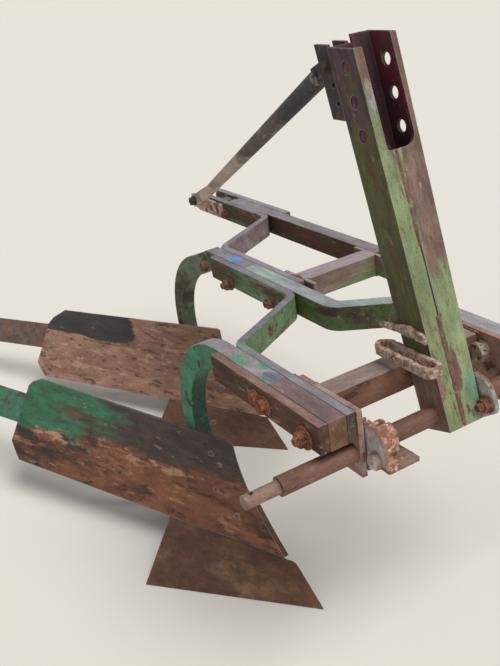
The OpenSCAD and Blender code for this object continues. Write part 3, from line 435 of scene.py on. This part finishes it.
# Rear leg: a duller grey-green, with a dab of bright blue paint on top
FINISHES["rear_leg"] = finish("dull_green_paint", ("#544c40", "#453c35", 50), [
    dict(colours=("#66735f", "#566350"), size=130, level=0.46, soft=0.06, rough=0.6, height=0.12,
         mottle=45),
    chips(("#46392f", "#57483c"), 50, 0.58), bleached(("#8a8389", "#757076"), 0.6),
    dict(colours=("#6292c8", "#5782b4"), size=40, level=0.84, soft=0.03, rough=0.5, faces=[(UP, 0.12)],
         zones=[("near", at(347, 915, 0), (26, 50, 16), 0.34)]),
    PALE_EDGE, DUST], rough=0.8, streak=(1, 2, 1))

# Moldboards: soil has polished the lower faces to brown rust, and old paint is left above
FRONT_RUN, REAR_RUN = math.radians(109.4), math.radians(109.3)
FINISHES["front_moldboard"] = finish("soil_worn_green_board", ("#895a43", "#694333", 40), [
    dict(colours=("#a87a5e", "#946850"), size=24, level=0.6, soft=0.05, rough=0.85),
    dict(colours=("#4a352c", "#3b2c27"), size=90, level=0.57, soft=0.07, rough=0.7),
    # A grey-brown band above the rust, and green paint over it towards the rear
    dict(colours=("#514440", "#3b3230"), size=140, level=0.62, soft=0.06, rough=0.65, mottle=30,
         zones=[up_board(-430, -375, 0.0, 0.26)]),
    dict(colours=("#3a7354", "#2d5a43"), size=60, level=0.85, soft=0.09, rough=0.55, height=0.12, mottle=20,
         zones=[up_board(-446, -386, 0.0, 0.3),
                ("along", at(0, 620, -350), at(0, 1060, -350), -0.22, 0.14)]),
    # Flecks and stains in the rust, and scuffs and pale flakes where the paint ends
    dict(colours=("#553a30", "#46352e"), size=18, level=0.585, soft=0.03, rough=0.85, full=0.7),
    dict(colours=("#43332c", "#302724"), size=30, level=0.62, soft=0.05, rough=0.8,
         zones=[("along", at(0, 850, -480), at(0, 1150, -480), 0.0, 0.1),
                up_board(-425, -400, 0.0, -0.2)]),
    dict(colours=("#35302c", "#2c2826"), size=50, level=0.76, soft=0.05, rough=0.6,
         zones=[up_board(-450, -430, 0.0, 0.14), up_board(-415, -390, 0.0, -0.2),
                ("along", at(0, 900, -350), at(0, 1100, -350), 0.0, 0.12)]),
    dict(colours=("#b89376", "#9a6f54"), size=30, level=0.66, soft=0.025, rough=0.92, height=-0.15,
         zones=[("along", at(0, 480, -430), at(0, 700, -430), -0.15, 0.0),
                up_board(-455, -425, 0.0, 0.12), up_board(-415, -385, 0.0, -0.14)]),
    dict(DUST, size=20), dict(PALE_EDGE, edge=0.5)], rough=0.7, streak=(3.5, 1, 1), turn=(0, 0, FRONT_RUN))
# The rear board is rubbed brown all over, but for dark paint at its upper rear corner
FINISHES["rear_moldboard"] = finish("soil_worn_brown_board", ("#a47b69", "#8a6657", 50), [
    dict(colours=("#826050", "#6d5143"), size=70, level=0.57, soft=0.06, rough=0.7, streak=(6, 1, 1)),
    dict(colours=("#b5967e", "#a3846c"), size=26, level=0.575, soft=0.06, rough=0.8),
    dict(colours=("#523e36", "#46352f"), size=16, level=0.585, soft=0.03, rough=0.8, full=0.8),
    dict(colours=("#3c383b", "#302c2d"), size=70, level=1.1, soft=0.05, rough=0.55, height=0.1, mottle=40,
         zones=[up_board(-410, -390, 0.0, 0.4),
                ("along", at(200, 1425, -330), at(150, 1555, -330), 0.0, 0.4)]),
    dict(DUST, size=20), PALE_EDGE], rough=0.65, streak=(3.5, 1, 1), turn=(0, 0, REAR_RUN))
# Shares, shins and landsides: scoured steel under caked earth
FINISHES["share"] = finish("earth_caked_steel", ("#6a4a3c", "#523a30", 60), [
    dict(colours=("#87694f", "#74583f"), size=70, level=0.58, soft=0.08, rough=0.95, height=0.3, full=0.8),
    dict(colours=("#8d7464", "#7a6356"), size=60, level=0.72, edge=0.2, soft=0.08, rough=0.5)],
    rough=0.8, streak=(2, 1, 1), turn=(0, 0, FRONT_RUN))
# Tail slats: one green, brighter in its middle, and one plain brown
FINISHES["front_slat"] = finish("slat_green_paint", ("#57493c", "#4a3e35", 40), [
    dict(colours=("#4f7563", "#3f6050"), size=80, level=0.45, soft=0.06, rough=0.6, height=0.1),
    dict(colours=("#268058", "#24704e"), size=40, level=0.84, soft=0.06, rough=0.5,
         zones=[("near", at(-330, 1330, -400), (110, 130, 110), 0.32)]),
    PALE_EDGE, DUST], rough=0.75)
FINISHES["rear_slat"] = finish("slat_brown_rust", ("#6e5a55", "#574843", 40), [
    dict(colours=("#7b5e50", "#684d42"), size=60, level=0.55, soft=0.05, rough=0.85),
    PALE_EDGE, DUST], rough=0.85)
# Frogs and stays: dark rust behind the boards, with dried earth on it
FINISHES["dark"] = finish("dark_brown_rust", ("#4c3f38", "#3a302b", 40), [
    dict(colours=("#66513f", "#564536"), size=50, level=0.57, soft=0.06, rough=0.9, height=0.2)], rough=0.9)

# Bolts and nuts: rust with darker scale on it, light on the corners, and one caked with grey earth
LIGHT_CORNER = dict(colours=("#b99880", "#a88870"), size=8, level=0.85, edge=0.4, soft=0.06, rough=0.8)
for key, name, rust, scale in (
        ("bolt", "orange_rusty_bolt", ("#92583f", "#734333"), ("#5a3a2e", "#4a3026")),
        ("grey_bolt", "grey_earthy_bolt", ("#b3a596", "#928374"), ("#5e4a40", "#4e3e36")),
        ("brown_bolt", "brown_rusty_bolt", ("#7d5245", "#613f36"), ("#4f362d", "#41302a"))):
    FINISHES[key] = finish(name, (*rust, 12), [
        dict(colours=scale, size=16, level=0.56, soft=0.05, rough=0.95, height=0.2),
        LIGHT_CORNER], rough=0.9)
FINISHES["dark_bolt"] = finish("dark_rusty_bolt", ("#4a3f3a", "#3a322e", 12), [
    dict(colours=("#6e5446", "#5e483c"), size=14, level=0.6, soft=0.05, rough=0.95)], rough=0.9)
FINISHES["weld"] = finish("rusty_weld_bead", ("#775a4d", "#5c443a", 10), [
    dict(colours=("#8f7060", "#806252"), size=14, level=0.58, soft=0.05, rough=0.9)], rough=0.85)

# A node has the finish of its own name, or one that it shares
FINISH_OF = {node: node for node in FINISHES}
FINISH_OF.update({"mast_loop": "pale_crust", "mast_strap": "pale_crust", "brace_ears": "ears",
                  "brace_tube": "brace", "brace_lug": "lug"})
for side in ("right", "left"):
    FINISH_OF.update({side + "_bracket": "bracket", side + "_sector": "sector", side + "_clamp": "crust"})
for row in ("front", "rear"):
    FINISH_OF.update({row + "_frog": "dark", row + "_stay": "dark"})
    FINISH_OF.update({row + "_share": "share", row + "_shin": "share", row + "_landside": "share"})

# Pieces


def piece_from(name, bm, finish_name, body, sharp=40):
    """Finished piece from a bmesh, with its place in its mesh."""
    mesh = bpy.data.meshes.new(name)
    bm.to_mesh(mesh)
    bm.free()
    mesh.shade_smooth()
    mesh.set_sharp_from_angle(angle=math.radians(sharp))
    piece = bpy.data.objects.new(name, mesh)
    scene.collection.objects.link(piece)
    mesh.materials.append(FINISHES[finish_name])
    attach(piece, body)
    return piece


def merged_copy(node):
    """The solid of a node as one skin without its extra facets."""
    bm = bmesh.new()
    bm.from_mesh(frame["nodes"][node].data)
    bmesh.ops.remove_doubles(bm, verts=bm.verts, dist=1e-5)
    bmesh.ops.dissolve_limit(bm, angle_limit=math.radians(0.5), verts=bm.verts, edges=bm.edges)
    return bm


def dress(node, rounding):
    """Puts a copy with rounded edges in a node's place."""
    piece = piece_from(node + "_worn", merged_copy(node), FINISH_OF[node], BODIES[node])
    bevel = piece.modifiers.new("rounded_edges", "BEVEL")
    bevel.width = rounding / 1000
    bevel.segments = 2
    bevel.limit_method = "ANGLE"
    bevel.angle_limit = math.radians(28)
    bevel.harden_normals = True
    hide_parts(node)


# Lumps of crust: how fast their noise fades with its octaves, how much finer each is, and their number
CRUST_NOISE = (0.7, 2.1, 4)
# The right clamp's foot plate lies below this height and carries only a part of that crust
CALM_Z = at(0, 0, -133).z
CALM_SHARE = 0.25


def crusted(node, cell, depth, lump):
    """Puts a copy with a lumpy crust of rust in a node's place, from its cell, depth and lumps in mm."""
    piece = piece_from(node + "_crusted", merged_copy(node), FINISH_OF[node], BODIES[node],
                       sharp=70)
    remesh = piece.modifiers.new("crust", "REMESH")
    remesh.mode = "VOXEL"
    remesh.voxel_size = cell / 1000
    graph = bpy.context.evaluated_depsgraph_get()
    mesh = bpy.data.meshes.new_from_object(piece.evaluated_get(graph))
    piece.modifiers.clear()
    normals = [v.normal.copy() for v in mesh.vertices]
    for v, n in zip(mesh.vertices, normals):
        share = 1.0 if v.co.z > CALM_Z else CALM_SHARE
        rise = noise.fractal(v.co * 1000 / lump, *CRUST_NOISE) * share
        v.co += n * (rise * depth / 1000)
    mesh.shade_smooth()
    piece.data = mesh
    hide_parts(node)


# Rounding of edges in mm: most on the rolled bars, tubes and legs, least on cut plates
BAR_ROUNDING, PLATE_ROUNDING = 2.6, 1.2
BAR_SLOTS = ("frame", "tube", "leg")
ROUNDING = {"cross_shaft": 1.5, "right_sector": 1.2, "left_sector": 1.2, "brace_ears": 1.2,
            "brace_tube": 1.5, "mast_right_channel": 2.2, "mast_left_channel": 2.2, "right_bracket": 1.5,
            "left_bracket": 1.5}
CRUSTED = {"right_clamp": (2.6, 2.6, 14), "left_clamp": (2.6, 2.2, 14), "mast_loop": (2.4, 1.6, 16),
           "mast_strap": (2.2, 1.2, 12)}
for node in frame["nodes"]:
    if node in CRUSTED:
        crusted(node, *CRUSTED[node])
    else:
        usual = BAR_ROUNDING if SLOTS[node].startswith(BAR_SLOTS) else PLATE_ROUNDING
        dress(node, ROUNDING.get(node, usual))

# Bolts and nuts

# Parts of a fastener sink into each other by this much in mm
OVERLAP = 0.2
# Edges sharper than this in radians are bevelled, by at most this much in mm
CREASE, BOLT_BEVEL = 0.7, 1.4
# Rust leaves no face quite flat: its lumps in a metre, their noise and their height in metres
LUMPS, LUMP_NOISE, LUMP_HEIGHT = 90, (0.8, 2.0, 3), 0.0006


def turned(axis, centre, turn=0.0):
    """Matrix that lays a piece made along Z on an axis at a place."""
    tilt = Vector((0, 0, 1)).rotation_difference(Vector(axis)).to_matrix().to_4x4()
    return Matrix.Translation(centre) @ tilt @ Matrix.Rotation(math.radians(turn), 4, "Z")


def fastener(name, centre, axis, stack, finish_name="bolt", turn=10, body="plough"):
    """Washers, hexagons and a stud in a row: each has its sides, its width and its height in mm."""
    bm = bmesh.new()
    rise = 0.0
    for sides, width, tall in stack:
        # A square or a hexagon is measured across its flats
        radius = width / 2000 / (math.cos(math.pi / sides) if sides < 12 else 1)
        made = bmesh.ops.create_cone(bm, cap_ends=True, segments=sides, radius1=radius, radius2=radius,
                                     depth=tall / 1000,
                                     matrix=Matrix.Translation((0, 0, (rise + tall / 2) / 1000)))
        around = dict.fromkeys(e for v in made["verts"] for e in v.link_edges)
        edges = [e for e in around if e.calc_face_angle(0) > CREASE]
        bmesh.ops.bevel(bm, geom=edges, offset=min(BOLT_BEVEL, tall / 5) / 1000, offset_type="OFFSET",
                        segments=2, profile=0.5, affect="EDGES", material=-1, clamp_overlap=True)
        rise += tall - OVERLAP
    bmesh.ops.transform(bm, matrix=turned(axis, centre, turn), verts=bm.verts)
    for v in bm.verts:
        v.co += v.normal * noise.fractal(v.co * LUMPS, *LUMP_NOISE) * LUMP_HEIGHT
    piece_from(name, bm, finish_name, body, sharp=32)


# Heads and nuts on washers, most nuts with the stud's end standing out
SMALL_HEAD = [(24, 34, 3), (6, 26, 12)]
WIDE_HEAD = [(24, 34, 3), (6, 28, 12)]
STUD_NUT = [(24, 36, 3), (6, 30, 15), (20, 17, 7)]

# On the right faces of the side plate, the second and third beams, the hitch and the brace
fastener("side_plate_rear_bolt", at(0, 190, -33), RIGHT, [(28, 42, 4), (6, 30, 14)], turn=20)
fastener("side_plate_leg_bolt", at(0, 228, -29), RIGHT, [(24, 34, 3), (6, 24, 10)], turn=5)
fastener("side_plate_front_bolt", at(0, 50, -44), RIGHT, [(28, 50, 4), (6, 30, 15), (20, 18, 8)], turn=12)
fastener("second_beam_bolt", at(305, 1027, -36), RIGHT, SMALL_HEAD, "brown_bolt", turn=14)
fastener("second_beam_nut", at(305, 883, -52), RIGHT, [(26, 40, 4), (6, 30, 16), (20, 18, 10)],
         "brown_bolt", turn=8)
fastener("second_beam_front_nut", at(305, 656, -44), RIGHT, [(24, 36, 3), (6, 28, 15), (20, 17, 8)],
         "brown_bolt", turn=20)
fastener("third_beam_bolt", at(610, 1454, -41), RIGHT, SMALL_HEAD, "brown_bolt", turn=0)
fastener("right_sector_bolt", at(101, -32, -100), RIGHT, [(6, 30, 14)], "sector", turn=15, body="shaft")
fastener("left_sector_bolt", at(378, -32, -90), RIGHT, [(24, 38, 4), (6, 28, 12), (20, 17, 12)],
         "brown_bolt", turn=10, body="shaft")
fastener("left_bracket_nut", at(474, 77, -42), RIGHT, [(24, 44, 4), (6, 38, 18)], "grey_bolt", turn=6)
fastener("brace_foot_head", at(584, 1640, -18), RIGHT, [(24, 34, 3), (6, 28, 14)], "dark_bolt")
fastener("brace_ear_bolt", on_mast(0, 98, 748), RIGHT, [(24, 26, 2), (6, 20, 9)], "dark_bolt")

# On the left faces
fastener("second_beam_far_nut", at(389, 883, -52), LEFT, STUD_NUT, turn=3)
fastener("second_beam_far_bolt", at(389, 1010, -36), LEFT, WIDE_HEAD, turn=22)
fastener("side_plate_far_nut", at(84, 228, -29), LEFT, [(24, 34, 3), (6, 28, 14), (20, 16, 6)], turn=16)
fastener("third_beam_far_nut", at(694, 1454, -41), LEFT, STUD_NUT, turn=9)
fastener("third_beam_front_nut", at(694, 1210, -34), LEFT, STUD_NUT, turn=19)
fastener("brace_ear_nut", on_mast(51, 98, 748), LEFT, [(24, 26, 2), (6, 22, 11), (20, 12, 6)], "dark_bolt")


def meets(node, start, toward):
    """Where a line first meets a node's solid, and the way the surface looks there."""
    bm = bmesh.new()
    bm.from_mesh(frame["nodes"][node].data)
    place, looks, _, _ = BVHTree.FromBMesh(bm).ray_cast(start, toward)
    bm.free()
    return place, looks


# Flush plough bolts through boards, shares and landsides, with nuts where their shanks come out behind
FLUSH = [(28, 21, 1.0), (4, 11, 0.7)]
NUT = [(24, 30, 3), (6, 24, 12), (20, 13, 8)]
# A flush head is sunk by this much, in metres
SUNK = 0.0006
# Places of the bolts on the front body, behind the frame's front and from the bar tops
BOARD_BOLTS = ((470, -476), (545, -430), (575, -345))
SHARE_BOLTS = ((345, -572), (430, -560))
LANDSIDE_BOLTS = ((470, -548), (560, -545), (700, -548))
LEG_BOLTS = ((628, -372), (668, -402))
# Lines that find a bolt's place start well to the right or left of a body; its landside is flat
FAR_RIGHT, FAR_LEFT, LANDSIDE_FACE = -500, 200, 69.6
# Only the top bolt of a board shows its nut behind
TOP_BOLT = 2
for row, aside, back in (("front", 0, 0), ("rear", STEP_ASIDE, STEP_BACK)):
    for number, (y, z) in enumerate(BOARD_BOLTS):
        place, looks = meets(row + "_moldboard", at(aside + FAR_RIGHT, back + y, z), LEFT)
        fastener(f"{row}_board_bolt_{number}", place - looks * SUNK, looks, FLUSH, row + "_moldboard")
        if number == TOP_BOLT:
            place, looks = meets(row + "_moldboard", at(aside + FAR_LEFT, back + y, z), RIGHT)
            fastener(f"{row}_board_nut_{number}", place, looks, NUT, "dark_bolt")
    for number, (y, z) in enumerate(SHARE_BOLTS):
        place, looks = meets(row + "_share", at(aside + FAR_RIGHT, back + y, z), LEFT)
        fastener(f"{row}_share_bolt_{number}", place - looks * SUNK, looks, FLUSH, "share")
    for number, (y, z) in enumerate(LANDSIDE_BOLTS):
        place = at(aside + LANDSIDE_FACE, back + y, z)
        fastener(f"{row}_landside_bolt_{number}", place, LEFT, FLUSH, "share")
    for number, (y, z) in enumerate(LEG_BOLTS):
        place, looks = meets(row + "_leg", at(aside + FAR_LEFT, back + y, z), RIGHT)
        if place:
            fastener(f"{row}_leg_bolt_{number}", place, looks, NUT, "dark_bolt")

# Welds

# Distance from lump to lump in mm, how much their sizes differ, and how fast that changes
BEAD_STEP, BEAD_UNEVEN, BEAD_CHANGE = 5.0, 0.25, 0.37


def weld(name, start, end, width, tall, outward=UP):
    """Bead of weld between two places: a row of flat rounded lumps that overlap."""
    bm = bmesh.new()
    run = end - start
    count = max(int(run.length * 1000 / BEAD_STEP), 2)
    lie = UP.rotation_difference(Vector(outward)).to_matrix().to_4x4()
    for number in range(count + 1):
        wobble = noise.noise(start * 50 + Vector((number * BEAD_CHANGE, 0, 0)))
        size = (1 + BEAD_UNEVEN * wobble) / 1000
        centre = start + run * number / count
        lump = Matrix.Diagonal((width / 2 * size, width / 2 * size, tall * size, 1))
        bmesh.ops.create_icosphere(bm, subdivisions=2, radius=1.0,
                                   matrix=Matrix.Translation(centre) @ lie @ lump)
    piece_from(name, bm, "weld", "plough", sharp=80)


# Down the mast's seam, leaving its middle bare, and where tubes and the station plate meet the bars
weld("mast_seam_weld_low", on_mast(39, 0, 8), on_mast(39, 0, 225), 12, 1.8, MAST_FRONT)
weld("mast_seam_weld_high", on_mast(39, 0, 375), on_mast(39, 0, 556), 8, 1.2, MAST_FRONT)
for x, place in ((97.5, "right"), (472.5, "left")):
    weld(f"front_tube_{place}_top_weld", at(x, 90, -5), at(x, 148, -5), 8, 3)
    weld(f"front_tube_{place}_front_weld", at(x, 89, -62), at(x, 89, -8), 8, 3, FRONT)
for x, place in ((402, "right"), (618, "left")):
    weld(f"rear_tube_{place}_front_weld", at(x, 625, -58), at(x, 625, -2), 7, 2.5, FRONT)
weld("station_plate_weld", at(610, 1242, -62), at(610, 1242, -1), 7, 1.6, RIGHT)

# Floor, light and camera

# The floor lies half a millimetre under the shares
FLOOR_GAP = Vector((0, 0, 0.0005))
FLOOR_REACH = 40
pale_floor = bpy.data.materials.new("pale_floor")
pale_floor.use_nodes = True
surface = pale_floor.node_tree.nodes["Principled BSDF"]
surface.inputs["Base Color"].default_value = linear("#e9e4dc")
surface.inputs["Roughness"].default_value = 0.9
bm = bmesh.new()
bmesh.ops.create_grid(bm, x_segments=1, y_segments=1, size=FLOOR_REACH,
                      matrix=Matrix.Translation(at(HITCH.x, 1000, FLOOR_Z) - FLOOR_GAP))
mesh = bpy.data.meshes.new("floor")
bm.to_mesh(mesh)
bm.free()
floor = bpy.data.objects.new("floor", mesh)
scene.collection.objects.link(floor)
mesh.materials.append(pale_floor)

# The world lights the plough with a cool grey, and shows the camera and reflections a pale backdrop
SKY_LIGHT = (0.35, 0.365, 0.38, 1.0)
world = bpy.data.worlds.new("studio")
world.use_nodes = True
sky = world.node_tree
rays = put(sky, "ShaderNodeLightPath")
seen = put(sky, "ShaderNodeMath", {0: rays.outputs["Is Camera Ray"], 1: rays.outputs["Is Glossy Ray"]},
           operation="ADD").outputs[0]
seen = put(sky, "ShaderNodeMath", {0: seen, 1: rays.outputs["Is Transmission Ray"]}, operation="ADD",
           use_clamp=True).outputs[0]
backdrop = put(sky, "ShaderNodeMix", {0: seen, 6: SKY_LIGHT, 7: linear("#e8e3db")},
               data_type="RGBA").outputs[2]
sky.links.new(backdrop, sky.nodes["Background"].inputs["Color"])
scene.world = world

# One soft, slightly warm lamp, high in front of the plough and to its left
KEY_SHINES = Vector((-0.25, 0.55, -1.0))
key = bpy.data.lights.new("key", "SUN")
key.energy = 2.3
key.angle = math.radians(40)
key.color = (1.0, 0.98, 0.95)
lamp = bpy.data.objects.new("key", key)
lamp.rotation_euler = KEY_SHINES.to_track_quat("-Z", "Y").to_euler()
scene.collection.objects.link(lamp)

# The camera's place in metres and its turn in degrees were solved from the bars in the photograph
CAMERA_PLACE = (-1.02185, -1.17624, 0.91025)
CAMERA_TURN = (65.5149, 7.8001, -30.5063)
view = bpy.data.cameras.new("camera")
view.lens = 46.76
view.sensor_width = 36
view.clip_end = 200
camera = bpy.data.objects.new("camera", view)
camera.location = CAMERA_PLACE
camera.rotation_euler = tuple(math.radians(a) for a in CAMERA_TURN)
scene.collection.objects.link(camera)
scene.camera = camera
scene.view_settings.view_transform = "Standard"

bpy.context.view_layer.update()
